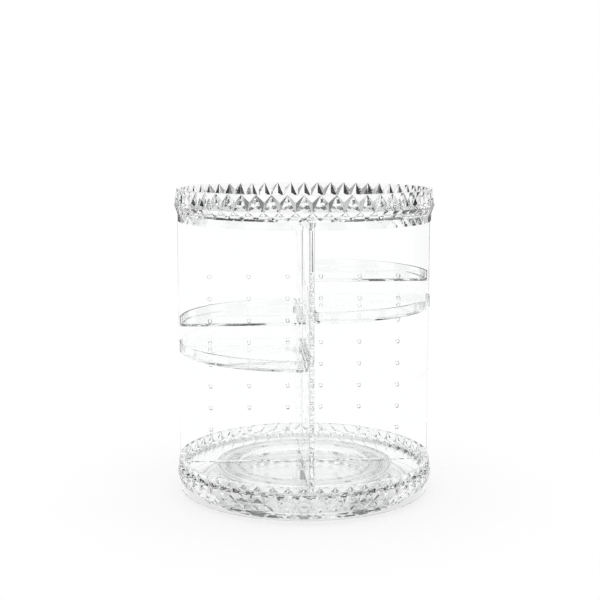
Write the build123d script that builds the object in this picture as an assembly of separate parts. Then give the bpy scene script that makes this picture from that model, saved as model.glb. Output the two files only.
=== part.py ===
from build123d import *
from math import cos, pi, sin, sqrt
import os

# A clear rotating organizer: a round base tray and a round top tray with faceted rims, held apart by two
# crossed divider plates. Four quarter-round trays hang on pegs between the dividers. The base tray turns on
# a ball bearing over a hidden foot.
# Millimetres, +Z up, -Y towards the front. The origin is on the surface it stands on, on the turning axis.

# Faceted rim, the same on both round trays
crest_radius = 115.5      # to the proud points of the facets
facet_count = 54          # diamonds around
band_height = 1.2         # smooth band along the bottom edge
low_facet_height = 5.8    # facets over the smooth band
lean_facet_height = 7.2   # facets that lean in under the crest
tall_facet_height = 14.3  # tall facets over the crest
band_depth = 3.0          # how far each row lies inside the crest
under_depth = 2.6
lip_depth = 2.0
hollow_depth = 3.5        # the pit above each crest point
hollow_drop = 6.5         # from the top edge down to it
brow_depth = 2.4          # the dent over the middle of each crest edge
brow_rise = 3.6           # from the crest up to it
chin_depth = 3.3          # the dent under the middle of each crest edge
chin_drop = 4.5           # from the crest down to it
rim_wall = 5.5            # from the crest to the inner wall
well_corner = 3.0         # inner corner radius between wall and floor
floor_thickness = 2.5
base_well_depth = 7.5
top_well_depth = 19.5

# Dividers
between_rims = 213.5      # clear height between the two rims
divider_thickness = 3.8
divider_inset = 2.5       # divider edge, inside the crest
divider_edge = 0.6        # rounding of the outer upright edges
shoulder_gap = 0.2        # shoulders clear the rims by this
wall_gap = 0.3            # narrow ends clear the rounded corner of the well by this
lap_fit = 0.1             # each side of the halved joint
tab_width = 20.0          # tabs that plug into the base floor
tab_centres = (38.0, 94.0)
tab_fit = 0.15
tab_short = 0.2           # a tab ends this far above the floor's underside

# Peg holes in the dividers
hole_rows = 8
hole_pitch = 20.0
first_hole_height = 51.0  # lowest row, over the bottom edge of the base rim
hole_centres = (15.0, 50.0, 85.0)
peg_radius = 1.5
peg_fit = 0.1
peg_land = 0.4            # peg ends this far short of the far face
peg_nose = 0.4            # rounding of the peg's free end

# Ribs under the top tray that hold the dividers
rib_height = 5.0
rib_thickness = 1.6
rib_fit = 0.15
rib_start = 8.0           # ribs begin this far from the axis

# Quarter-round trays
tray_gap = 0.6            # tray side to divider face
tray_inset = 0.5          # tray rim, inside the divider edge
tray_depth = 9.5
tray_wall = 1.8
tray_floor = 2.0
tray_corner = 5.0
peg_over_bottom = 5.0     # peg centre over the tray's underside
notch_fit = 0.15
rows_from_top = ("rear_right", "front_right", "rear_left", "front_left")
quarters = ("rear_right", "rear_left", "front_left", "front_right")

# Foot
foot_clearance = 4.0      # base rim over the surface
foot_radius = 95.0
foot_thickness = 3.0
flange_width = 2.5
flange_height = 5.0
pad_radius = 7.0
pad_height = 1.5
pad_recess = 0.5
pad_fit = 0.1
pad_count = 6
pad_circle = 84.0

# Ball bearing
race_radius = 70.0        # to the ball centres
race_width = 15.8
upper_race_height = 6.4
race_gap = 3.7            # between the two races
ball_radius = 3.0
ball_count = 12
running_fit = 0.05
cage_width = 10.0
cage_thickness = 1.8
pocket_fit = 0.15
keeper_width = 2.0        # ribs that hold each race in place
keeper_height = 4.0
keeper_fit = 0.1

# Centre pivot
hub_radius = 11.0
boss_radius = 7.0
boss_height = 5.4
bush_radius = 4.0
bush_stand = 0.5          # bush over the hub's top
bush_fit = 0.05
thrust_gap = 0.1
shank_radius = 2.5
thread_depth = 5.0
thread_room = 0.3
head_radius = 5.0
head_height = 2.6
head_recess = 0.55        # head inside the foot's underside
head_room = 1.5           # pocket wall around the washer
cross_width = 1.2
cross_depth = 1.4
washer_radius = 6.0
washer_thickness = 0.8

# Heights and radii that follow
rim_height = band_height + low_facet_height + lean_facet_height + tall_facet_height
inner_radius = crest_radius - rim_wall
base_rim_top = foot_clearance + rim_height
base_floor_top = base_rim_top - base_well_depth
base_floor_bottom = base_floor_top - floor_thickness
top_rim_bottom = base_rim_top + between_rims
top_rim_top = top_rim_bottom + rim_height
top_floor_top = top_rim_top - top_well_depth
top_floor_bottom = top_floor_top - floor_thickness
divider_reach = crest_radius - divider_inset
divider_end_reach = inner_radius - well_corner - wall_gap
divider_face = divider_thickness / 2
tray_radius = divider_reach - tray_inset
tray_side = divider_face + tray_gap
hole_radius = peg_radius + peg_fit
row_heights = [foot_clearance + first_hole_height + row * hole_pitch for row in range(hole_rows)]
tray_columns = (hole_centres[0], hole_centres[-1])
foot_bottom = pad_height - pad_recess
foot_top = foot_bottom + foot_thickness
upper_race_bottom = base_floor_bottom - upper_race_height
lower_race_top = upper_race_bottom - race_gap
ball_height = (upper_race_bottom + lower_race_top) / 2
groove_radius = ball_radius + running_fit
race_inner = race_radius - race_width / 2
race_outer = race_radius + race_width / 2
boss_bottom = base_floor_bottom - boss_height
bush_top = boss_bottom - thrust_gap
pocket_depth = head_recess + head_height + washer_thickness + running_fit
pocket_top = foot_bottom + pocket_depth


# Simple shapes
def disc(radius, low, high):
    return Pos(0, 0, low) * Cylinder(radius, high - low, align=(Align.CENTER, Align.CENTER, Align.MIN))


def ring(inner, outer, low, high):
    return disc(outer, low, high) - disc(inner, low, high)


def block(x_low, x_high, y_low, y_high, low, high):
    corner = (Align.MIN, Align.MIN, Align.MIN)
    return Pos(x_low, y_low, low) * Box(x_high - x_low, y_high - y_low, high - low, align=corner)


def bar_along_y(x, z, radius, y_low, y_high):
    bar = Cylinder(radius, y_high - y_low, align=(Align.CENTER, Align.CENTER, Align.MAX))
    return Pos(x, y_low, z) * Rot(90, 0, 0) * bar


def around(shape, count, radius, height):
    step = 360 / count
    return [Rot(0, 0, i * step) * Pos(radius, 0, height) * shape for i in range(count)]


def quarter_turned(shape, name):
    return Rot(0, 0, 90 * quarters.index(name)) * shape


# Faceted rim: rows of points, each row half a step round from the next, joined by flat triangles
def ring_of_points(depth, height, shift):
    step = 2 * pi / facet_count
    radius = crest_radius - depth
    angles = [(i + shift) * step - pi / 2 for i in range(facet_count)]
    return [Vector(radius * cos(a), radius * sin(a), height) for a in angles]


def flat(*corners):
    return Face(Wire.make_polygon(corners, close=True))


def faceted_drum(bottom):
    band_top = bottom + band_height
    under = band_top + low_facet_height
    crest = under + lean_facet_height
    top = bottom + rim_height
    foot_row = ring_of_points(band_depth, bottom, 0)
    band_row = ring_of_points(band_depth, band_top, 0)
    under_row = ring_of_points(under_depth, under, 0.5)
    crest_row = ring_of_points(0, crest, 0)
    brow_row = ring_of_points(brow_depth, crest + brow_rise, 0.5)
    chin_row = ring_of_points(chin_depth, crest - chin_drop, 0.5)
    pit_row = ring_of_points(hollow_depth, top - hollow_drop, 0)
    top_row = ring_of_points(lip_depth, top, 0.5)
    faces = [flat(*foot_row), flat(*top_row)]
    for i in range(facet_count):
        j = (i + 1) % facet_count
        faces.append(flat(foot_row[i], foot_row[j], band_row[j], band_row[i]))
        faces.append(flat(band_row[i], band_row[j], under_row[i]))
        faces.append(flat(under_row[i], band_row[j], under_row[j]))
        faces.append(flat(crest_row[i], crest_row[j], chin_row[i]))
        faces.append(flat(crest_row[i], under_row[i], chin_row[i]))
        faces.append(flat(crest_row[j], under_row[i], chin_row[i]))
        faces.append(flat(under_row[i], crest_row[j], under_row[j]))
        faces.append(flat(crest_row[i], crest_row[j], brow_row[i]))
        faces.append(flat(crest_row[i], top_row[i], brow_row[i]))
        faces.append(flat(crest_row[j], top_row[i], brow_row[i]))
        faces.append(flat(top_row[i], top_row[j], pit_row[j]))
        faces.append(flat(top_row[i], pit_row[j], crest_row[j]))
        faces.append(flat(top_row[j], pit_row[j], crest_row[j]))
    return Solid(Shell(faces))


def well(floor, top):
    hole = disc(inner_radius, floor, top)
    floor_edges = hole.faces().sort_by(Axis.Z)[0].edges()
    return fillet(floor_edges, well_corner)


def round_tray(bottom, floor_bottom, floor_top):
    top = bottom + rim_height
    drum = faceted_drum(bottom)
    return drum - well(floor_top, top) - disc(inner_radius, bottom, floor_bottom)


def base_tray():
    tray = round_tray(foot_clearance, base_floor_bottom, base_floor_top)
    for inner in (race_inner - keeper_fit - keeper_width, race_outer + keeper_fit):
        outer = inner + keeper_width
        tray += ring(inner, outer, base_floor_bottom - keeper_height, base_floor_bottom)
    tray += disc(boss_radius, boss_bottom, base_floor_bottom)
    tray -= disc(shank_radius + running_fit, boss_bottom, boss_bottom + thread_depth + thread_room)
    half_width = tab_width / 2 + tab_fit
    half_thickness = divider_face + tab_fit
    slots = [
        block(centre - half_width, centre + half_width, -half_thickness, half_thickness,
              base_floor_bottom, base_floor_top)
        for centre in tab_centres
    ]
    return tray - [Rot(0, 0, 90 * turn) * slot for turn in range(4) for slot in slots]


def top_tray():
    tray = round_tray(top_rim_bottom, top_floor_bottom, top_floor_top)
    near = divider_face + rib_fit
    rib = block(rib_start, inner_radius, near, near + rib_thickness,
                top_floor_bottom - rib_height, top_floor_bottom)
    pair = rib + rib.mirror(Plane.XZ)
    ribs = [Rot(0, 0, 90 * turn) * pair for turn in range(4)]
    return tray + ribs


# Divider plates
def divider_blank():
    shoulder_low = base_rim_top + shoulder_gap
    shoulder_high = top_rim_bottom - shoulder_gap
    wide = block(-divider_reach, divider_reach, -divider_face, divider_face, shoulder_low, shoulder_high)
    wide = fillet(wide.edges().filter_by(Axis.Z), divider_edge)
    narrow = block(-divider_end_reach, divider_end_reach, -divider_face, divider_face,
                   base_floor_top, top_floor_bottom)
    tab_bottom = base_floor_bottom + tab_short
    tabs = [
        block(side * centre - tab_width / 2, side * centre + tab_width / 2, -divider_face, divider_face,
              tab_bottom, base_floor_top)
        for side in (-1, 1) for centre in tab_centres
    ]
    return wide + narrow + tabs


def peg_holes():
    return [
        bar_along_y(side * column, height, hole_radius, -divider_thickness, divider_thickness)
        for side in (-1, 1) for column in hole_centres for height in row_heights
    ]


def divider(slot_low, slot_high):
    half_slot = divider_face + lap_fit
    slot = block(-half_slot, half_slot, -divider_thickness, divider_thickness, slot_low, slot_high)
    return divider_blank() - slot - peg_holes()


def divider_left_right():
    middle = (base_floor_top + top_floor_bottom) / 2
    return divider(middle, top_rim_top)


def divider_front_back():
    middle = (base_floor_top + top_floor_bottom) / 2
    return Rot(0, 0, 90) * divider(0, middle)


# Quarter-round tray, drawn in the rear right quarter
def tray_bottom(name):
    return row_heights[-1 - rows_from_top.index(name)] - peg_over_bottom


def quarter_outline():
    reach = sqrt(tray_radius**2 - tray_side**2)
    diagonal = tray_radius / sqrt(2)
    inner = (tray_side, tray_side)
    right = (reach, tray_side)
    back = (tray_side, reach)
    outline = make_face([
        Line(inner, right),
        ThreePointArc(right, (diagonal, diagonal), back),
        Line(back, inner),
    ])
    return fillet(outline.vertices(), tray_corner)


def quarter_tray(name):
    bottom = tray_bottom(name)
    outline = quarter_outline()
    shell = Pos(0, 0, bottom) * extrude(outline, tray_depth)
    inside = offset(outline, amount=-tray_wall)
    shell -= Pos(0, 0, bottom + tray_floor) * extrude(inside, tray_depth)
    notch_radius = peg_radius + notch_fit
    peg_height = bottom + peg_over_bottom
    for column in tray_columns:
        notch = bar_along_y(column, peg_height, notch_radius, tray_side, tray_side + tray_wall)
        notch += block(column - notch_radius, column + notch_radius, tray_side, tray_side + tray_wall,
                       bottom, peg_height)
        shell -= notch
        shell -= notch.mirror(Plane.XZ).rotate(Axis.Z, 90)
    return quarter_turned(shell, name)


def pegs(name):
    height = tray_bottom(name) + peg_over_bottom
    peg_end = tray_side + tray_wall - peg_fit
    group = []
    for column in tray_columns:
        peg = bar_along_y(column, height, peg_radius, peg_land - divider_face, peg_end)
        peg = fillet(peg.faces().sort_by(Axis.Y)[-1].edges(), peg_nose)
        group.append(peg)
        group.append(peg.mirror(Plane.XZ).rotate(Axis.Z, 90))
    return [quarter_turned(peg, name) for peg in group]


# Foot
def foot_disc():
    foot = disc(foot_radius, foot_bottom, foot_top)
    foot += ring(foot_radius - flange_width, foot_radius, foot_top, foot_top + flange_height)
    for inner in (race_inner - keeper_fit - keeper_width, race_outer + keeper_fit):
        foot += ring(inner, inner + keeper_width, foot_top, foot_top + keeper_height)
    foot += disc(hub_radius, foot_bottom, bush_top - bush_stand)
    foot -= disc(washer_radius + head_room, foot_bottom, pocket_top)
    foot -= disc(bush_radius + bush_fit, foot_bottom, bush_top)
    pocket = disc(pad_radius + pad_fit, foot_bottom, foot_bottom + pad_recess)
    return foot - around(pocket, pad_count, pad_circle, 0)


def foot_pads():
    return around(disc(pad_radius, 0, pad_height), pad_count, pad_circle, 0)


def pivot_bush():
    return ring(shank_radius + running_fit, bush_radius, pocket_top, bush_top)


# Bearing
def lower_race():
    race = ring(race_inner, race_outer, foot_top, lower_race_top)
    return race - Pos(0, 0, ball_height) * Torus(race_radius, groove_radius)


def upper_race():
    race = ring(race_inner, race_outer, upper_race_bottom, base_floor_bottom)
    return race - Pos(0, 0, ball_height) * Torus(race_radius, groove_radius)


def bearing_balls():
    return around(Sphere(ball_radius), ball_count, race_radius, ball_height)


def ball_cage():
    low = ball_height - cage_thickness / 2
    high = ball_height + cage_thickness / 2
    cage = ring(race_radius - cage_width / 2, race_radius + cage_width / 2, low, high)
    return cage - around(Sphere(ball_radius + pocket_fit), ball_count, race_radius, ball_height)


# Pivot screw, driven from below into the boss of the base tray
def pivot_screw():
    head_top = pocket_top - running_fit - washer_thickness
    head_bottom = head_top - head_height
    screw = disc(head_radius, head_bottom, head_top)
    screw += disc(shank_radius, head_top, boss_bottom + thread_depth)
    arm = head_radius / 2
    half = cross_width / 2
    cross = block(-arm, arm, -half, half, head_bottom, head_bottom + cross_depth)
    cross += block(-half, half, -arm, arm, head_bottom, head_bottom + cross_depth)
    return screw - cross


def pivot_washer():
    top = pocket_top - running_fit
    return ring(shank_radius + running_fit, washer_radius, top - washer_thickness, top)


# Each sub-part goes to its own file
def write(name, shape):
    solids = shape if isinstance(shape, list) else [shape]
    group = Compound(children=[solid for part in solids for solid in part.solids()])
    group.label = name
    export_step(group, f"parts/{name}.step")


os.makedirs("parts", exist_ok=True)
write("foot_disc", foot_disc())
write("foot_pads", foot_pads())
write("pivot_bush", pivot_bush())
write("lower_race", lower_race())
write("upper_race", upper_race())
write("bearing_balls", bearing_balls())
write("ball_cage", ball_cage())
write("pivot_screw", pivot_screw())
write("pivot_washer", pivot_washer())
write("base_tray", base_tray())
write("top_tray", top_tray())
write("divider_left_right", divider_left_right())
write("divider_front_back", divider_front_back())
for quarter in quarters:
    write(f"tray_{quarter}", quarter_tray(quarter))
    write(f"pegs_{quarter}", pegs(quarter))
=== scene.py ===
import bmesh
import bpy
from math import asin, cos, pi, radians, sin, sqrt
from mathutils import Matrix, Vector


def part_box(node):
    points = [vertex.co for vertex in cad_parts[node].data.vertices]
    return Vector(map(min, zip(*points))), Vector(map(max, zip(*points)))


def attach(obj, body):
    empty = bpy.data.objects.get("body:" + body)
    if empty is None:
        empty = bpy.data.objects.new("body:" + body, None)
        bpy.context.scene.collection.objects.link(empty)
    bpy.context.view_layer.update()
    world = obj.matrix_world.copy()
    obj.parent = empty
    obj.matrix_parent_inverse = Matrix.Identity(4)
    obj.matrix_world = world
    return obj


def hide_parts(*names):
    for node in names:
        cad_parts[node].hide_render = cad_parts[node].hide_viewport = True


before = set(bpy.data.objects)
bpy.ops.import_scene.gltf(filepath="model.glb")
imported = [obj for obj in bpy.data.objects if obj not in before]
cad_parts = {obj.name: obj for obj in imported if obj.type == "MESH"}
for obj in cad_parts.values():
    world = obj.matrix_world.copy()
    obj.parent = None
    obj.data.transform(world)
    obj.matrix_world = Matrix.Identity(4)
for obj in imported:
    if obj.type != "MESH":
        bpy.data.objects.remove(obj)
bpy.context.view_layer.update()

# Foot disc
# A flat moulding of the same water-clear plastic as the rest. It lies on the table and does not turn.
# Two low ribs keep the lower race in place, and a hub in its middle holds the pivot bush.
MM = 0.001
foot_low, foot_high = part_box("foot_disc")
foot_radius = foot_high.x
foot_bottom = foot_low.z
foot_plate = 3 * MM
foot_flange_height = 5 * MM
foot_flange_width = 2.5 * MM
race_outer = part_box("lower_race")[1].x
race_width = 15.8 * MM
keeper_fit = 0.1 * MM
keeper_width = 2 * MM
keeper_height = 4 * MM
hub_radius = 11 * MM
hub_top = foot_high.z
bush_hole = 4.05 * MM
washer_pocket = 7.5 * MM
washer_pocket_depth = 4 * MM
air_film = 0.05 * MM
round_steps = 216
moulded_edge = 0.35 * MM
corner_share = 0.45
corner_steps = 4
sharp_edge = radians(50)
clear_ior = 1.5
flow_scale = 14
flow_shift = (0.37, 0.21, 0.13)
flow_height = 0.0015
flow_strength = 0.08
haze_scale = 55
haze_range = (0.45, 0.8)
haze_roughness = 0.03
clear_tints = ((0.99, 0.996, 0.996, 1), (0.998, 1, 0.999, 1))


def eased(outline, ease, closed=True):
    """The outline with each corner turned into a short curve."""
    points = [Vector(point) for point in outline]
    result = []
    for index, corner in enumerate(points):
        if not closed and index in (0, len(points) - 1):
            result.append(corner)
            continue
        back = points[index - 1] - corner
        ahead = points[(index + 1) % len(points)] - corner
        reach = min(ease, back.length * corner_share, ahead.length * corner_share)
        start = corner + back.normalized() * reach
        end = corner + ahead.normalized() * reach
        for step in range(corner_steps + 1):
            along = step / corner_steps
            bend = 2 * along * (1 - along)
            result.append(start * (1 - along) ** 2 + corner * bend + end * along ** 2)
    return result


def turn_outline(mesh, outline, closed):
    """Spins an outline of (radius, height) points once round the upright axis."""
    points = [mesh.verts.new((point[0], 0, point[1])) for point in outline]
    pairs = list(zip(points, points[1:]))
    if closed:
        pairs.append((points[-1], points[0]))
    lines = [mesh.edges.new(pair) for pair in pairs]
    before = set(mesh.faces)
    bmesh.ops.spin(mesh, geom=points + lines, cent=(0, 0, 0), axis=(0, 0, 1), angle=2 * pi,
                   steps=round_steps, use_merge=True)
    for face in set(mesh.faces) - before:
        face.smooth = True


def set_inputs(tree, node, settings):
    """Gives a node's inputs, by name or place, a number, a colour or the output of another node."""
    for key, value in settings.items():
        if isinstance(value, bpy.types.NodeSocket):
            tree.links.new(value, node.inputs[key])
        else:
            node.inputs[key].default_value = value


def add_node(tree, kind, settings=None, **choices):
    """Adds a node of that kind with its choices made and its inputs set."""
    node = tree.nodes.new(kind)
    for name, choice in choices.items():
        setattr(node, name, choice)
    set_inputs(tree, node, settings or {})
    return node


def colour_ramp(tree, along, stops):
    """The colours between (place, colour) stops, of which the first lies at 0 and the last at 1."""
    ramp = add_node(tree, "ShaderNodeValToRGB", {"Fac": along})
    elements = ramp.color_ramp.elements
    elements[0].color = stops[0][1]
    elements[1].color = stops[-1][1]
    for place, colour in stops[1:-1]:
        elements.new(place).color = colour
    return ramp.outputs["Color"]


def clear_plastic(name, seed, satin=0):
    """Water-clear polystyrene: faint flow waves, a breath of haze, a tint too weak to name."""
    material = bpy.data.materials.new(name)
    material.use_nodes = True
    tree = material.node_tree
    place = add_node(tree, "ShaderNodeTexCoord")
    shift = add_node(tree, "ShaderNodeMapping", {
        "Vector": place.outputs["Object"],
        "Location": [seed * shift for shift in flow_shift],
    })
    flow = add_node(tree, "ShaderNodeTexNoise", {
        "Vector": shift.outputs["Vector"],
        "Scale": flow_scale,
        "Detail": 1,
    })
    waves = add_node(tree, "ShaderNodeBump", {
        "Height": flow.outputs["Fac"],
        "Strength": flow_strength,
        "Distance": flow_height,
    })
    haze = add_node(tree, "ShaderNodeTexNoise", {
        "Vector": shift.outputs["Vector"],
        "Scale": haze_scale,
        "Detail": 3,
    })
    rough = add_node(tree, "ShaderNodeMapRange", {
        "Value": haze.outputs["Fac"],
        "From Min": haze_range[0],
        "From Max": haze_range[1],
        "To Min": satin,
        "To Max": satin + haze_roughness,
    })
    set_inputs(tree, tree.nodes["Principled BSDF"], {
        "Base Color": colour_ramp(tree, flow.outputs["Fac"], tuple(enumerate(clear_tints))),
        "Roughness": rough.outputs["Result"],
        "Normal": waves.outputs["Normal"],
        "IOR": clear_ior,
        "Transmission Weight": 1,
    })
    return material


def keep_flats_flat(piece):
    """Shades flat faces flat, and leaves the turn of the light to the narrow rounded edges between them."""
    piece.data.set_sharp_from_angle(angle=sharp_edge)
    weights = piece.modifiers.new("flat_faces", "WEIGHTED_NORMAL")
    weights.mode = "FACE_AREA"
    weights.keep_sharp = True


def finish_piece(name, mesh, material, body, node):
    """Turns the modelled mesh into an object that rides on its body and stands for its node."""
    bmesh.ops.recalc_face_normals(mesh, faces=mesh.faces)
    data = bpy.data.meshes.new(name)
    mesh.to_mesh(data)
    mesh.free()
    data.materials.append(material)
    piece = bpy.data.objects.new(name, data)
    bpy.context.scene.collection.objects.link(piece)
    keep_flats_flat(piece)
    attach(piece, body)
    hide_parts(node)
    return piece


foot_plate_top = foot_bottom + foot_plate
foot_flange_top = foot_plate_top + foot_flange_height
foot_flange_inner = foot_radius - foot_flange_width
washer_pocket_top = foot_bottom + washer_pocket_depth
race_inner = race_outer - race_width
race_seat = foot_plate_top - air_film
keeper_top = foot_plate_top + keeper_height
inner_keeper = race_inner - keeper_fit
inner_keeper_end = inner_keeper - keeper_width
outer_keeper = race_outer + keeper_fit
outer_keeper_end = outer_keeper + keeper_width
foot_outline = [
    (washer_pocket, foot_bottom), (foot_radius, foot_bottom), (foot_radius, foot_flange_top),
    (foot_flange_inner, foot_flange_top), (foot_flange_inner, foot_plate_top),
    (outer_keeper_end, foot_plate_top), (outer_keeper_end, keeper_top),
    (outer_keeper, keeper_top), (outer_keeper, race_seat), (inner_keeper, race_seat),
    (inner_keeper, keeper_top), (inner_keeper_end, keeper_top),
    (inner_keeper_end, foot_plate_top), (hub_radius, foot_plate_top), (hub_radius, hub_top),
    (bush_hole, hub_top), (bush_hole, washer_pocket_top), (washer_pocket, washer_pocket_top),
]
foot_mesh = bmesh.new()
turn_outline(foot_mesh, eased(foot_outline, moulded_edge), closed=True)
foot_plastic = clear_plastic("foot_clear_plastic", 1)
finish_piece("foot_disc_moulding", foot_mesh, foot_plastic, "foot", "foot_disc")

# Foot pads
# Six soft pale rubber discs pressed into the underside of the foot disc, so that it does not slide.
# They have a fine, dull grain.
rubber_grain = 900
rubber_relief = 0.25
grain_height = 0.0002
rubber_shades = ((0.72, 0.73, 0.73, 1), (0.82, 0.83, 0.83, 1))
rubber_roughness = (0.55, 0.8)


def mottled(name, scale, detail, shades, roughness, relief, settings):
    """A material whose colour and gloss vary faintly, with its grain raised if relief is given."""
    material = bpy.data.materials.new(name)
    material.use_nodes = True
    tree = material.node_tree
    place = add_node(tree, "ShaderNodeTexCoord")
    cloud = add_node(tree, "ShaderNodeTexNoise", {
        "Vector": place.outputs["Object"],
        "Scale": scale,
        "Detail": detail,
    })
    gloss = add_node(tree, "ShaderNodeMapRange", {
        "Value": cloud.outputs["Fac"],
        "To Min": roughness[0],
        "To Max": roughness[1],
    })
    shader = tree.nodes["Principled BSDF"]
    set_inputs(tree, shader, {
        "Base Color": colour_ramp(tree, cloud.outputs["Fac"], tuple(enumerate(shades))),
        "Roughness": gloss.outputs["Result"],
    })
    set_inputs(tree, shader, settings)
    if relief:
        grain = add_node(tree, "ShaderNodeBump", {
            "Height": cloud.outputs["Fac"],
            "Strength": relief,
            "Distance": grain_height,
        })
        tree.links.new(grain.outputs["Normal"], shader.inputs["Normal"])
    return material


def coat(names, material):
    """Gives the material to pieces that keep the shape they came with."""
    for name in names:
        for material_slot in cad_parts[name].material_slots:
            material_slot.material = material


pad_rubber = mottled("pad_rubber", rubber_grain, 4, rubber_shades, rubber_roughness, rubber_relief,
                     {"IOR": 1.45})
coat(["foot_pads"], pad_rubber)

# Ball bearing
# A race on the foot and one under the base floor, of the same clear plastic with a satin turned face, like
# the thin cage between them. Twelve smooth white nylon balls run in their grooves.
race_satin = 0.1
nylon_cloud = 240
nylon_shades = ((0.86, 0.86, 0.835, 1), (0.93, 0.93, 0.915, 1))
nylon_roughness = (0.22, 0.4)
nylon_depth = {"IOR": 1.53, "Subsurface Weight": 0.3, "Subsurface Scale": 0.002}
race_plastic = clear_plastic("race_clear_plastic", 7, race_satin)
coat(["lower_race", "upper_race", "ball_cage"], race_plastic)
white_nylon = mottled("white_nylon", nylon_cloud, 3, nylon_shades, nylon_roughness, 0, nylon_depth)
coat(["bearing_balls"], white_nylon)

# Pivot
# A white nylon bush pushed into the foot's hub and a zinc-plated screw with its washer, driven up from below
# into the boss of the base tray. They hold foot and base tray together and let them turn.
steel_cloud = 450
steel_shades = ((0.64, 0.65, 0.67, 1), (0.74, 0.74, 0.74, 1))
steel_roughness = (0.2, 0.38)
plated_steel = mottled("plated_steel", steel_cloud, 5, steel_shades, steel_roughness, 0, {"Metallic": 1})
coat(["pivot_bush"], white_nylon)
coat(["pivot_screw", "pivot_washer"], plated_steel)

# Base tray
# One water-clear moulding: a round floor inside a rim cut all round into facets like a crystal bowl. Slots in
# the floor take the tabs of the dividers; ribs and a boss under it hold the race and the pivot screw.
tray_low, tray_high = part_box("base_tray")
crest_radius = -tray_low.y
rim_bottom = tray_low.z
rim_height = tray_high.z - tray_low.z
facet_count = 54
half_facet = pi / facet_count
band_height = 1.2 * MM
low_facet_height = 5.8 * MM
lean_facet_height = 7.2 * MM
tall_facet_height = rim_height - band_height - low_facet_height - lean_facet_height
band_radius = crest_radius - 3 * MM
under_radius = crest_radius - 2.6 * MM
lip_radius = crest_radius - 2 * MM
pit_radius = crest_radius - 3.5 * MM
pit_drop = 6.5 * MM
brow_radius = crest_radius - 2.4 * MM
brow_rise = 3.6 * MM
chin_radius = crest_radius - 3.3 * MM
chin_drop = 4.5 * MM
facet_edge = 0.1 * MM
least_ridge = radians(3)
lip_land = 0.8 * MM
inner_radius = crest_radius - 5.5 * MM
well_edge = 1.5 * moulded_edge
well_edge_run = 2 * moulded_edge
well_corner = 3 * MM
well_corner_steps = 8
floor_thickness = 2.5 * MM
base_well_depth = 7.5 * MM
boss_radius = 7 * MM
boss_height = 5.4 * MM
screw_hole = 2.55 * MM
screw_hole_depth = 5.3 * MM
divider_thickness = 3.8 * MM
tab_width = 20 * MM
tab_centres = (38 * MM, 94 * MM)
tab_fit = 0.15 * MM
same_height = 0.001 * MM
chord_sag = 0.1 * MM


def verts_of(geometry):
    """The vertices among what an operator returns."""
    return [item for item in geometry if isinstance(item, bmesh.types.BMVert)]


def faces_of(geometry):
    """The faces among what an operator returns."""
    return [item for item in geometry if isinstance(item, bmesh.types.BMFace)]


def joined_to(verts, kind):
    """The edges or faces that meet at the vertices, each once and in a fixed order."""
    return list(dict.fromkeys(item for vert in verts for item in getattr(vert, kind)))


def next_row(mesh, ring, rise, growth, turn):
    """Extrudes a ring of edges into the next row of points and returns its edges and the faces between."""
    grown = bmesh.ops.extrude_edge_only(mesh, edges=ring)["geom"]
    verts = verts_of(grown)
    here = set(verts)
    edges = [item for item in grown if isinstance(item, bmesh.types.BMEdge) and here.issuperset(item.verts)]
    bmesh.ops.scale(mesh, vec=(growth, growth, 1), verts=verts)
    bmesh.ops.rotate(mesh, cent=(0, 0, 0), matrix=Matrix.Rotation(turn, 3, "Z"), verts=verts)
    bmesh.ops.translate(mesh, vec=(0, 0, rise), verts=verts)
    return edges, faces_of(grown)


def dent(mesh, point_height, base_height, dent_radius, dent_height):
    """Dents each triangle that has its point at one height and its base at the other."""
    faces = []
    for face in mesh.faces:
        at_point = sum(abs(vert.co.z - point_height) < same_height for vert in face.verts)
        at_base = sum(abs(vert.co.z - base_height) < same_height for vert in face.verts)
        if at_point == 1 and at_base == 2:
            faces.append(face)
    dents = bmesh.ops.poke(mesh, faces=faces)["verts"]
    inward = dent_radius / dents[0].co.xy.length
    bmesh.ops.scale(mesh, vec=(inward, inward, 1), verts=dents)
    bmesh.ops.translate(mesh, vec=(0, 0, dent_height - dents[0].co.z), verts=dents)


def faceted_rim(mesh, bottom):
    """The outside of a rim: rows of points, each half a facet round from the last, joined by triangles."""
    start = bmesh.ops.create_circle(mesh, segments=facet_count, radius=band_radius,
                                    matrix=Matrix.Translation((0, 0, bottom)))
    foot_row = joined_to(start["verts"], "link_edges")
    band_row = next_row(mesh, foot_row, band_height, 1, 0)[0]
    under_row, low = next_row(mesh, band_row, low_facet_height, under_radius / band_radius, half_facet)
    crest_row, lean = next_row(mesh, under_row, lean_facet_height, crest_radius / under_radius, -half_facet)
    top_row, tall = next_row(mesh, crest_row, tall_facet_height, lip_radius / crest_radius, half_facet)
    next_row(mesh, top_row, 0, 1 - lip_land / lip_radius, 0)
    next_row(mesh, foot_row, 0, 1 - lip_land / band_radius, 0)
    bmesh.ops.triangulate(mesh, faces=low + lean + tall, quad_method="SHORT_EDGE")
    under = bottom + band_height + low_facet_height
    crest = under + lean_facet_height
    top = bottom + rim_height
    dent(mesh, crest, top, pit_radius, top - pit_drop)
    dent(mesh, top, crest, brow_radius, crest + brow_rise)
    dent(mesh, under, crest, chin_radius, crest - chin_drop)
    ridges = [edge for edge in mesh.edges if not edge.is_boundary and edge.calc_face_angle() > least_ridge]
    bmesh.ops.bevel(mesh, geom=ridges, offset=facet_edge, segments=1, affect="EDGES", profile=0.5,
                    material=-1, clamp_overlap=True)


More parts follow.
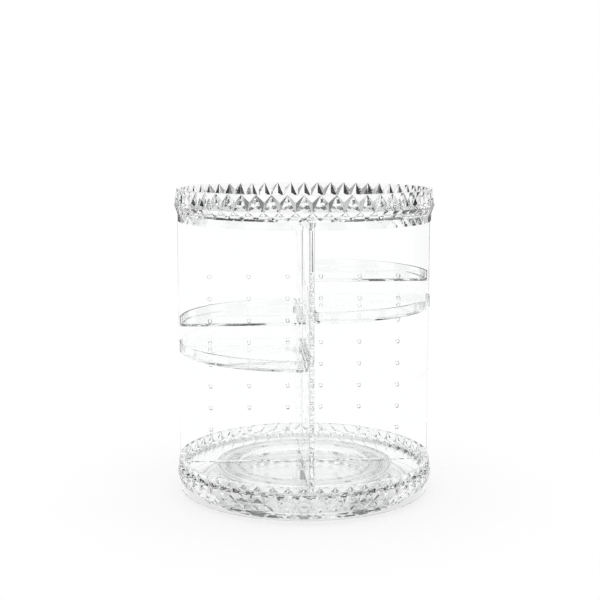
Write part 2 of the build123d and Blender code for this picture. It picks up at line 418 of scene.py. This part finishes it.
def fill_flat(mesh, height, inner=0, outer=1):
    """Closes the flat face bounded by the open edges at one height, between two distances from the axis."""
    border = []
    for edge in mesh.edges:
        if edge.is_boundary and all(abs(vert.co.z - height) < same_height for vert in edge.verts):
            distance = ((edge.verts[0].co + edge.verts[1].co) / 2).xy.length
            if inner - chord_sag < distance < outer + chord_sag:
                border.append(edge)
    bmesh.ops.triangle_fill(mesh, use_beauty=True, edges=border, normal=(0, 0, 1))


def well_outline(floor, top):
    """Half section of the hollow above the floor: eased rim, straight wall, rounded corner."""
    wall_foot = floor + well_corner
    upper_corner = [(inner_radius + well_edge_run, top), (inner_radius, top), (inner_radius, wall_foot)]
    outline = eased(upper_corner, well_edge, closed=False)[1:-1]
    centre = inner_radius - well_corner
    for step in range(well_corner_steps + 1):
        angle = step / well_corner_steps * pi / 2
        outline.append(Vector((centre + well_corner * cos(angle), floor + well_corner * (1 - sin(angle)))))
    return outline


def in_four_quarters(mesh, verts):
    """Copies the open piece that verts belong to, a quarter turn on each time."""
    geometry = verts + joined_to(verts, "link_edges") + joined_to(verts, "link_faces")
    for quarter in (1, 2, 3):
        copied = bmesh.ops.duplicate(mesh, geom=geometry)["geom"]
        turn = Matrix.Rotation(quarter * pi / 2, 3, "Z")
        bmesh.ops.rotate(mesh, cent=(0, 0, 0), matrix=turn, verts=verts_of(copied))


def open_box(mesh, size, centre, open_below):
    """A box without its lid, or without lid and floor, in all four quarters."""
    place = Matrix.Translation(centre) @ Matrix.Diagonal((*size, 1))
    verts = bmesh.ops.create_cube(mesh, size=1, matrix=place)["verts"]
    lids = []
    for face in joined_to(verts, "link_faces"):
        if face.normal.z > 0.5 or open_below and face.normal.z < -0.5:
            lids.append(face)
    bmesh.ops.delete(mesh, geom=lids, context="FACES_ONLY")
    in_four_quarters(mesh, verts)


base_floor_top = tray_high.z - base_well_depth
base_floor_bottom = base_floor_top - floor_thickness
base_underside = base_floor_bottom + air_film
rib_bottom = base_floor_bottom - keeper_height
boss_bottom = base_floor_bottom - boss_height
screw_hole_top = boss_bottom + screw_hole_depth
base_mesh = bmesh.new()
faceted_rim(base_mesh, rim_bottom)
turn_outline(base_mesh, well_outline(base_floor_top, rim_bottom + rim_height), closed=False)
turn_outline(base_mesh, [(inner_radius, rim_bottom), (inner_radius, base_underside)], closed=False)
race_ribs = [
    (outer_keeper_end, base_underside), (outer_keeper_end, rib_bottom), (outer_keeper, rib_bottom),
    (outer_keeper, base_underside), (inner_keeper, base_underside), (inner_keeper, rib_bottom),
    (inner_keeper_end, rib_bottom), (inner_keeper_end, base_underside),
]
turn_outline(base_mesh, eased(race_ribs, moulded_edge, closed=False), closed=False)
boss = [
    (boss_radius, base_underside), (boss_radius, boss_bottom), (screw_hole, boss_bottom),
    (screw_hole, screw_hole_top),
]
turn_outline(base_mesh, eased(boss, moulded_edge, closed=False), closed=False)
for tab_centre in tab_centres:
    slot_size = (tab_width + 2 * tab_fit, divider_thickness + 2 * tab_fit, base_floor_top - base_underside)
    open_box(base_mesh, slot_size, (tab_centre, 0, (base_floor_top + base_underside) / 2), open_below=True)
fill_flat(base_mesh, rim_bottom + rim_height)
fill_flat(base_mesh, rim_bottom)
fill_flat(base_mesh, base_floor_top)
fill_flat(base_mesh, base_underside, 0, inner_keeper_end)
fill_flat(base_mesh, base_underside, outer_keeper_end, inner_radius)
fill_flat(base_mesh, screw_hole_top)
base_plastic = clear_plastic("base_clear_plastic", 2)
finish_piece("base_tray_moulding", base_mesh, base_plastic, "carousel", "base_tray")

# Divider plates
# Two cut plates of the same clear plastic, slotted half way so that they cross. Tabs on the lower edge plug
# into the base floor. Rows of holes 20 mm apart take the pegs of the trays.
top_rim_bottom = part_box("top_tray")[0].z
top_well_depth = 19.5 * MM
plate_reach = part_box("divider_left_right")[1].x
plate_end_gap = 0.3 * MM
shoulder_gap = 0.2 * MM
tab_end_gap = 0.2 * MM
halving_play = 0.1 * MM
plate_edge = 0.4 * MM
plate_edge_steps = 2
hole_radius = 1.6 * MM
hole_sides = 24
hole_columns = (15 * MM, 50 * MM, 85 * MM)
hole_rows = 8
hole_pitch = 20 * MM
lowest_hole = rim_bottom + 51 * MM
top_floor_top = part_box("top_tray")[1].z - top_well_depth
top_floor_bottom = top_floor_top - floor_thickness
plate_end = inner_radius - well_corner - plate_end_gap
plate_middle = (base_floor_top + top_floor_bottom) / 2
tab_bottom = base_floor_bottom + tab_end_gap
halving_slot = divider_thickness / 2 + halving_play


def inset_ring(mesh, faces, thickness, depth):
    """A smooth ring inside the border of a flat region, which moves by the depth."""
    ring = bmesh.ops.inset_region(mesh, faces=faces, use_boundary=True, use_even_offset=True,
                                  thickness=thickness, depth=depth)["faces"]
    for face in ring:
        face.smooth = True


def quarter_steps(steps):
    """The shares of a quarter round by which each step goes across and up, as (across, up) pairs."""
    angles = [step / steps * pi / 2 for step in range(steps + 1)]
    return [(cos(low) - cos(high), sin(high) - sin(low)) for low, high in zip(angles, angles[1:])]


def round_over(mesh, faces, radius, steps, side=1):
    """Rounds the border of a flat region; side -1 sinks it instead."""
    for across, up in quarter_steps(steps):
        inset_ring(mesh, faces, radius * across, side * radius * up)


def half_outline(slot_up):
    """Right half of a plate from its middle line, as (across, height) points, from bottom to top."""
    floor = base_floor_top + air_film
    ceiling = top_floor_bottom - air_film
    points = [(0, floor)] if slot_up else [(halving_slot, plate_middle), (halving_slot, floor)]
    for centre in tab_centres:
        points += [(centre - tab_width / 2, floor), (centre - tab_width / 2, tab_bottom),
                   (centre + tab_width / 2, tab_bottom), (centre + tab_width / 2, floor)]
    low_shoulder = rim_bottom + rim_height + shoulder_gap
    high_shoulder = top_rim_bottom - shoulder_gap
    points += [(plate_end, floor), (plate_end, low_shoulder), (plate_reach, low_shoulder),
               (plate_reach, high_shoulder), (plate_end, high_shoulder), (plate_end, ceiling)]
    points += [(halving_slot, ceiling), (halving_slot, plate_middle)] if slot_up else [(0, ceiling)]
    return points


def divider_plate(slot_up):
    """A plate in the X-Z plane with its holes, standing square on the Y axis."""
    mesh = bmesh.new()
    right = half_outline(slot_up)
    left = [(-across, height) for across, height in reversed(right) if across > 0]
    corners = eased(right + left, plate_edge)
    verts = [mesh.verts.new((corner.x, 0, corner.y)) for corner in corners]
    for pair in zip(verts, verts[1:] + verts[:1]):
        mesh.edges.new(pair)
    upright = Matrix.Rotation(pi / 2, 4, "X")
    for column in hole_columns:
        for side in (-1, 1):
            for row in range(hole_rows):
                place = Matrix.Translation((side * column, 0, lowest_hole + row * hole_pitch)) @ upright
                bmesh.ops.create_circle(mesh, segments=hole_sides, radius=hole_radius, matrix=place)
    bmesh.ops.triangle_fill(mesh, use_beauty=True, edges=mesh.edges[:], normal=(0, 1, 0))
    core = divider_thickness - 2 * plate_edge
    grown = bmesh.ops.extrude_face_region(mesh, geom=mesh.faces[:])["geom"]
    back = faces_of(grown)
    bmesh.ops.translate(mesh, vec=(0, core, 0), verts=verts_of(grown))
    bmesh.ops.translate(mesh, vec=(0, -core / 2, 0), verts=mesh.verts)
    bmesh.ops.recalc_face_normals(mesh, faces=mesh.faces)
    for face in mesh.faces:
        face.smooth = abs(face.normal.y) < 0.5
    front = [face for face in mesh.faces if face.normal.y < -0.5]
    round_over(mesh, front, plate_edge, plate_edge_steps)
    round_over(mesh, back, plate_edge, plate_edge_steps)
    return mesh


divider_plastic = clear_plastic("divider_clear_plastic", 3)
left_right_mesh = divider_plate(slot_up=True)
finish_piece("divider_left_right_plate", left_right_mesh, divider_plastic, "carousel", "divider_left_right")
front_back_mesh = divider_plate(slot_up=False)
bmesh.ops.rotate(front_back_mesh, cent=(0, 0, 0), matrix=Matrix.Rotation(pi / 2, 3, "Z"),
                 verts=front_back_mesh.verts)
finish_piece("divider_front_back_plate", front_back_mesh, divider_plastic, "carousel", "divider_front_back")

# Quarter trays
# Four equal shallow trays, each a quarter of a round, moulded with soft lips and corners. Two notches in each
# straight side drop over the pegs.
quarter_names = ("rear_right", "rear_left", "front_left", "front_right")
tray_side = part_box("tray_rear_right")[0].x
tray_reach = 112.5 * MM
tray_reach_steps = 64
tray_corner = 5 * MM
tray_corner_steps = 8
tray_wall = 1.8 * MM
tray_floor = 2 * MM
tray_depth = 9.5 * MM
tray_lip = 0.75 * MM
tray_under = 0.5 * MM
lip_steps = 3
tray_inner_corner = 0.8 * MM
inner_corner_steps = 4
draft = 0.12 * MM
notch_radius = 1.65 * MM
notch_play = 0.1 * MM
notch_run_out = 1 * MM
notch_round_steps = 6
notch_round_share = 0.995
peg_over_bottom = 5 * MM
peg_columns = (hole_columns[0], hole_columns[-1])


def arc(x, y, radius, start, end, steps):
    """Points on an arc, angles in radians."""
    angles = [start + (end - start) * step / steps for step in range(steps + 1)]
    return [(x + radius * cos(angle), y + radius * sin(angle)) for angle in angles]


def quarter_outline():
    """The tray from above in the rear right quarter, its three corners rounded."""
    near = tray_side + tray_corner
    along = sqrt((tray_reach - tray_corner) ** 2 - near ** 2)
    tilt = asin(near / (tray_reach - tray_corner))
    points = arc(near, near, tray_corner, pi, 1.5 * pi, tray_corner_steps)
    points += arc(along, near, tray_corner, -pi / 2, tilt, tray_corner_steps)
    points += arc(0, 0, tray_reach, tilt, pi / 2 - tilt, tray_reach_steps)[1:-1]
    points += arc(near, along, tray_corner, pi / 2 - tilt, pi, tray_corner_steps)
    return points


def notch_cutter(bottom):
    """What the four peg notches take away: an upright slot with a round top through each straight side."""
    mesh = bmesh.new()
    peg_height = bottom + peg_over_bottom
    height = peg_over_bottom + notch_run_out
    depth = tray_wall + 4 * notch_play
    middle = tray_side + tray_wall / 2 - notch_play
    for column in peg_columns:
        place = Matrix.Translation((column, middle, peg_height - height / 2))
        size = Matrix.Diagonal((2 * notch_radius, depth, height, 1))
        cube = bmesh.ops.create_cube(mesh, size=1, matrix=place @ size)["verts"]
        ends = []
        for edge in joined_to(cube, "link_edges"):
            low, high = edge.verts
            across = abs(low.co.x - high.co.x) < same_height
            if across and min(low.co.z, high.co.z) > peg_height - same_height:
                ends.append(edge)
        raised = list(dict.fromkeys(vert for edge in ends for vert in edge.verts))
        bmesh.ops.translate(mesh, vec=(0, 0, notch_radius), verts=raised)
        bmesh.ops.bevel(mesh, geom=ends, offset=notch_radius * notch_round_share, segments=notch_round_steps,
                        affect="EDGES", profile=0.5, material=-1)
    copied = bmesh.ops.duplicate(mesh, geom=mesh.verts[:] + mesh.edges[:] + mesh.faces[:])["geom"]
    swap_x_and_y = Matrix(((0, 1, 0), (1, 0, 0), (0, 0, 1)))
    bmesh.ops.transform(mesh, matrix=swap_x_and_y, verts=verts_of(copied))
    bmesh.ops.recalc_face_normals(mesh, faces=mesh.faces)
    return mesh


def quarter_tray(bottom):
    """The tray in the rear right quarter, rounded under the floor, at the lip and inside the corners."""
    mesh = bmesh.new()
    verts = [mesh.verts.new((x, y, bottom + tray_under)) for x, y in quarter_outline()]
    floor = mesh.faces.new(verts)
    lid = faces_of(bmesh.ops.extrude_face_region(mesh, geom=[floor])["geom"])[0]
    bmesh.ops.translate(mesh, vec=(0, 0, tray_depth - tray_under - tray_lip), verts=lid.verts[:])
    bmesh.ops.recalc_face_normals(mesh, faces=mesh.faces)
    for face in mesh.faces:
        face.smooth = abs(face.normal.z) < 0.5
    under = min(mesh.faces, key=lambda face: face.calc_center_median().z)
    round_over(mesh, [under], tray_under, lip_steps)
    round_over(mesh, [lid], tray_lip, lip_steps)
    land = tray_wall - 2 * tray_lip - draft
    bmesh.ops.inset_region(mesh, faces=[lid], use_boundary=True, use_even_offset=True,
                           thickness=land, depth=0)
    for across, up in reversed(quarter_steps(lip_steps)):
        inset_ring(mesh, [lid], tray_lip * across, -tray_lip * up)
    wall_drop = tray_depth - tray_floor - tray_lip - tray_inner_corner
    inset_ring(mesh, [lid], draft, -wall_drop)
    round_over(mesh, [lid], tray_inner_corner, inner_corner_steps, side=-1)
    return mesh


def cut_away(piece, cutter_mesh):
    """Takes the cutter's shape out of the piece and leaves a plain mesh."""
    data = bpy.data.meshes.new("cutter")
    cutter_mesh.to_mesh(data)
    cutter_mesh.free()
    cutter = bpy.data.objects.new("cutter", data)
    bpy.context.scene.collection.objects.link(cutter)
    piece.modifiers.clear()
    trim = piece.modifiers.new("notches", "BOOLEAN")
    trim.operation = "DIFFERENCE"
    trim.solver = "EXACT"
    trim.object = cutter
    graph = bpy.context.evaluated_depsgraph_get()
    cut = bpy.data.meshes.new_from_object(piece.evaluated_get(graph))
    piece.modifiers.clear()
    piece.data = cut
    keep_flats_flat(piece)
    bpy.data.objects.remove(cutter)
    bpy.data.meshes.remove(data)


tray_plastic = clear_plastic("tray_clear_plastic", 4)
for turn, quarter in enumerate(quarter_names):
    node = "tray_" + quarter
    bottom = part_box(node)[0].z
    turned = Matrix.Rotation(turn * pi / 2, 3, "Z")
    tray_mesh = quarter_tray(bottom)
    bmesh.ops.rotate(tray_mesh, cent=(0, 0, 0), matrix=turned, verts=tray_mesh.verts)
    cutter = notch_cutter(bottom)
    bmesh.ops.rotate(cutter, cent=(0, 0, 0), matrix=turned, verts=cutter.verts)
    piece = finish_piece(node + "_moulding", tray_mesh, tray_plastic, node, node)
    cut_away(piece, cutter)

# Pegs
# Short round pins of clear plastic pushed into the holes of the dividers, four to a tray. The notches of the
# trays hang on them.
peg_plastic = clear_plastic("peg_clear_plastic", 5)
coat(["pegs_" + quarter for quarter in quarter_names], peg_plastic)

# Top tray
# The same crystal-cut rim round a deeper hollow, for tall things. Four pairs of ribs under its floor sit
# astride the dividers; it lies on them by its own weight.
rib_height = 5 * MM
rib_thickness = 1.6 * MM
rib_fit = 0.15 * MM
rib_start = 8 * MM
rib_end_gap = 0.4 * MM
rib_end = inner_radius - rib_end_gap
rib_aside = divider_thickness / 2 + rib_fit + rib_thickness / 2
top_mesh = bmesh.new()
faceted_rim(top_mesh, top_rim_bottom)
turn_outline(top_mesh, well_outline(top_floor_top, top_rim_bottom + rim_height), closed=False)
turn_outline(top_mesh, [(inner_radius, top_rim_bottom), (inner_radius, top_floor_bottom)], closed=False)
for side in (-1, 1):
    rib_centre = ((rib_start + rib_end) / 2, side * rib_aside, top_floor_bottom - rib_height / 2)
    open_box(top_mesh, (rib_end - rib_start, rib_thickness, rib_height), rib_centre, open_below=False)
fill_flat(top_mesh, top_rim_bottom + rim_height)
fill_flat(top_mesh, top_rim_bottom)
fill_flat(top_mesh, top_floor_top)
fill_flat(top_mesh, top_floor_bottom)
top_plastic = clear_plastic("top_clear_plastic", 6)
finish_piece("top_tray_moulding", top_mesh, top_plastic, "top_tray", "top_tray")

# Studio
# A white sweep of floor, a large soft light overhead and white walls all round. Eight white lanes lead away
# from the object with dark gaps between them, so that the clear plastic shows its cut edges. On the walls the
# gaps are dim light. On the floor they are painted dark reflections that only the plastic shows, and so is a
# painted contact shadow in a ring under the object. The camera sees the floor white, with its faint real
# shadow.
sweep_size = 40
paper_white = 0.9
shadow_reach = (0.12, 0.26)
shadow_share = 0.8
# Painted contact shadow: (distance, glow) stops that dim the floor in a ring under the rim, seen only through
# the plastic.
contact_shadow = ((0, 0.9), (0.08, 0.9), (0.096, 0.74), (0.106, 0.74), (0.118, 1), (0.2, 1))
lane_count = 8
lane_turn = radians(1.6)
lane_half_width = 0.13
lane_spread = 0.165
near_lane_spread = 0.36
near_lane_end = (1.3, 1.4)
wall_lane_spread = 0.18
lane_edges = ((-1.08, 0), (-1, 1), (0.86, 1), (0.94, 0))
half_lane_share = 0.125
ramp_middle = 0.5
# Lightness of the painted dark gaps on the floor, which only the plastic shows in refraction and reflection.
painted_gap_glow = 0.02
near_gap_share = 0.65
wall_light = ((0, 1), (0.31, 1), (0.36, 0.1), (0.62, 0.1), (0.72, 1.8), (1, 1.8))
wall_gap_light = ((0, 0.04), (0.62, 0.04), (0.72, 1.8), (1, 1.8))
light_bounces = 32
scene = bpy.context.scene
scene.view_settings.view_transform = "Standard"
scene.cycles.max_bounces = light_bounces
scene.cycles.glossy_bounces = light_bounces
scene.cycles.transmission_bounces = light_bounces


def sum_of(tree, operation, *values):
    """The result of one sum on numbers or on the outputs of other nodes."""
    return add_node(tree, "ShaderNodeMath", dict(enumerate(values)), operation=operation).outputs["Value"]


def length_of(tree, vector):
    """The length of a vector."""
    return add_node(tree, "ShaderNodeVectorMath", {0: vector}, operation="LENGTH").outputs["Value"]


def grey(light):
    """A grey of that lightness as a colour."""
    return (light, light, light, 1)


def grey_ramp(tree, along, stops):
    """The greys between (place, lightness) stops, of which the first lies at 0 and the last at 1."""
    return colour_ramp(tree, along, [(place, grey(light)) for place, light in stops])


def lane_pattern(tree, across, along, half_width, spread, near_spread):
    """1 in the lanes that lead away from the axis and 0 between them, the first lane turned by lane_turn."""
    bearing = sum_of(tree, "ARCTAN2", across, along)
    from_first = sum_of(tree, "SUBTRACT", bearing, lane_turn)
    from_lane = sum_of(tree, "WRAP", from_first, pi / lane_count, -pi / lane_count)
    flat = add_node(tree, "ShaderNodeCombineXYZ", {"X": across, "Y": along})
    radius = length_of(tree, flat.outputs["Vector"])
    aside = sum_of(tree, "MULTIPLY", sum_of(tree, "SINE", from_lane), radius)
    outward = sum_of(tree, "MULTIPLY", sum_of(tree, "COSINE", from_lane), radius)
    half_lane = sum_of(tree, "MULTIPLY_ADD", outward, spread, half_width)
    near_slope = add_node(tree, "ShaderNodeMapRange", {
        "Value": outward,
        "From Min": near_lane_end[0],
        "From Max": near_lane_end[1],
        "To Min": near_spread,
        "To Max": 0,
    })
    half_near = sum_of(tree, "MULTIPLY", outward, near_slope.outputs["Result"])
    half_wider = sum_of(tree, "MAXIMUM", half_lane, half_near)
    ratio = sum_of(tree, "DIVIDE", aside, half_wider)
    across_lane = sum_of(tree, "MULTIPLY_ADD", ratio, half_lane_share, ramp_middle)
    edges = [(edge * half_lane_share + ramp_middle, light) for edge, light in lane_edges]
    return grey_ramp(tree, across_lane, [(0, 0), *edges, (1, 0)])


sweep_mesh = bmesh.new()
bmesh.ops.create_grid(sweep_mesh, x_segments=1, y_segments=1, size=sweep_size)
sweep_data = bpy.data.meshes.new("sweep")
sweep_mesh.to_mesh(sweep_data)
sweep_mesh.free()
sweep = bpy.data.objects.new("sweep", sweep_data)
scene.collection.objects.link(sweep)
white_paper = bpy.data.materials.new("white_paper")
white_paper.use_nodes = True
paper = white_paper.node_tree
paper.nodes.clear()
paper_place = add_node(paper, "ShaderNodeTexCoord").outputs["Object"]
paper_axes = add_node(paper, "ShaderNodeSeparateXYZ", {"Vector": paper_place})
distance = length_of(paper, paper_place)
ray = add_node(paper, "ShaderNodeLightPath")
by_camera = ray.outputs["Is Camera Ray"]
through_plastic = sum_of(paper, "MAXIMUM", ray.outputs["Is Glossy Ray"], ray.outputs["Is Transmission Ray"])
whiteness = add_node(paper, "ShaderNodeMapRange", {
    "Value": distance,
    "From Min": shadow_reach[0],
    "From Max": shadow_reach[1],
    "To Min": shadow_share,
    "To Max": 1,
})
clean_share = sum_of(paper, "MULTIPLY", whiteness.outputs["Result"], by_camera)
clean_share = sum_of(paper, "MAXIMUM", clean_share, through_plastic)
# Painted dark reflections: lanes and gaps on the floor that only rays coming through or off the plastic see.
painted_floor_lanes = lane_pattern(paper, paper_axes.outputs["X"], paper_axes.outputs["Y"], lane_half_width,
                           lane_spread, near_lane_spread)
gap_darkness = add_node(paper, "ShaderNodeMapRange", {
    "Value": distance,
    "From Min": near_lane_end[0],
    "From Max": near_lane_end[1],
    "To Min": near_gap_share,
    "To Max": 1,
})
in_gap = sum_of(paper, "SUBTRACT", 1, painted_floor_lanes)
gap_share = sum_of(paper, "MULTIPLY", in_gap, gap_darkness.outputs["Result"])
# Painted reflection: through and in the plastic the floor glows white in the lanes and near-black in the
# gaps.
glow = add_node(paper, "ShaderNodeMix", {
    "Factor": sum_of(paper, "MULTIPLY", gap_share, through_plastic),
    "A": grey(1),
    "B": grey(painted_gap_glow),
}, data_type="RGBA")
# Painted contact shadow: through the plastic the floor glows dimmer in a ring under the object; camera rays
# keep full glow.
shadow_end = contact_shadow[-1][0]
shadow_stops = [(reach / shadow_end, light) for reach, light in contact_shadow]
painted_shadow_under_object = grey_ramp(paper, sum_of(paper, "MULTIPLY", distance, 1 / shadow_end), shadow_stops)
matt_white = add_node(paper, "ShaderNodeBsdfDiffuse", {"Color": grey(paper_white)})
clean_white = add_node(paper, "ShaderNodeEmission", {
    "Color": glow.outputs["Result"],
    "Strength": sum_of(paper, "MAXIMUM", painted_shadow_under_object, by_camera),
})
surface = add_node(paper, "ShaderNodeMixShader", {
    "Fac": clean_share,
    1: matt_white.outputs["BSDF"],
    2: clean_white.outputs["Emission"],
})
add_node(paper, "ShaderNodeOutputMaterial", {"Surface": surface.outputs["Shader"]})
sweep.data.materials.append(white_paper)

room = bpy.data.worlds.new("room")
scene.world = room
room.use_nodes = True
walls = room.node_tree
walls.nodes.clear()
wall_place = add_node(walls, "ShaderNodeTexCoord")
wall_axes = add_node(walls, "ShaderNodeSeparateXYZ", {"Vector": wall_place.outputs["Generated"]})
wall_lanes = lane_pattern(walls, wall_axes.outputs["X"], wall_axes.outputs["Y"], 0, wall_lane_spread, 0)
around = add_node(walls, "ShaderNodeMix", {
    "Factor": wall_lanes,
    "A": grey_ramp(walls, wall_axes.outputs["Z"], wall_gap_light),
    "B": grey_ramp(walls, wall_axes.outputs["Z"], wall_light),
}, data_type="RGBA")
room_light = add_node(walls, "ShaderNodeBackground", {"Color": around.outputs["Result"]})
plain_white = add_node(walls, "ShaderNodeBackground", {"Color": grey(1)})
wall_ray = add_node(walls, "ShaderNodeLightPath")
seen_walls = add_node(walls, "ShaderNodeMixShader", {
    "Fac": wall_ray.outputs["Is Camera Ray"],
    1: room_light.outputs["Background"],
    2: plain_white.outputs["Background"],
})
add_node(walls, "ShaderNodeOutputWorld", {"Surface": seen_walls.outputs["Shader"]})

camera_turn = radians(3.3)
camera_distance = 1.087
camera_height = 0.3308
camera_tilt = radians(81.77)
camera_swing = radians(-3.1)
camera_data = bpy.data.cameras.new("camera")
camera_data.sensor_width = 36
camera_data.lens = 73.06
camera = bpy.data.objects.new("camera", camera_data)
scene.collection.objects.link(camera)
camera.location = (-sin(camera_turn) * camera_distance, -cos(camera_turn) * camera_distance, camera_height)
camera.rotation_euler = (camera_tilt, 0, camera_swing)
scene.camera = camera
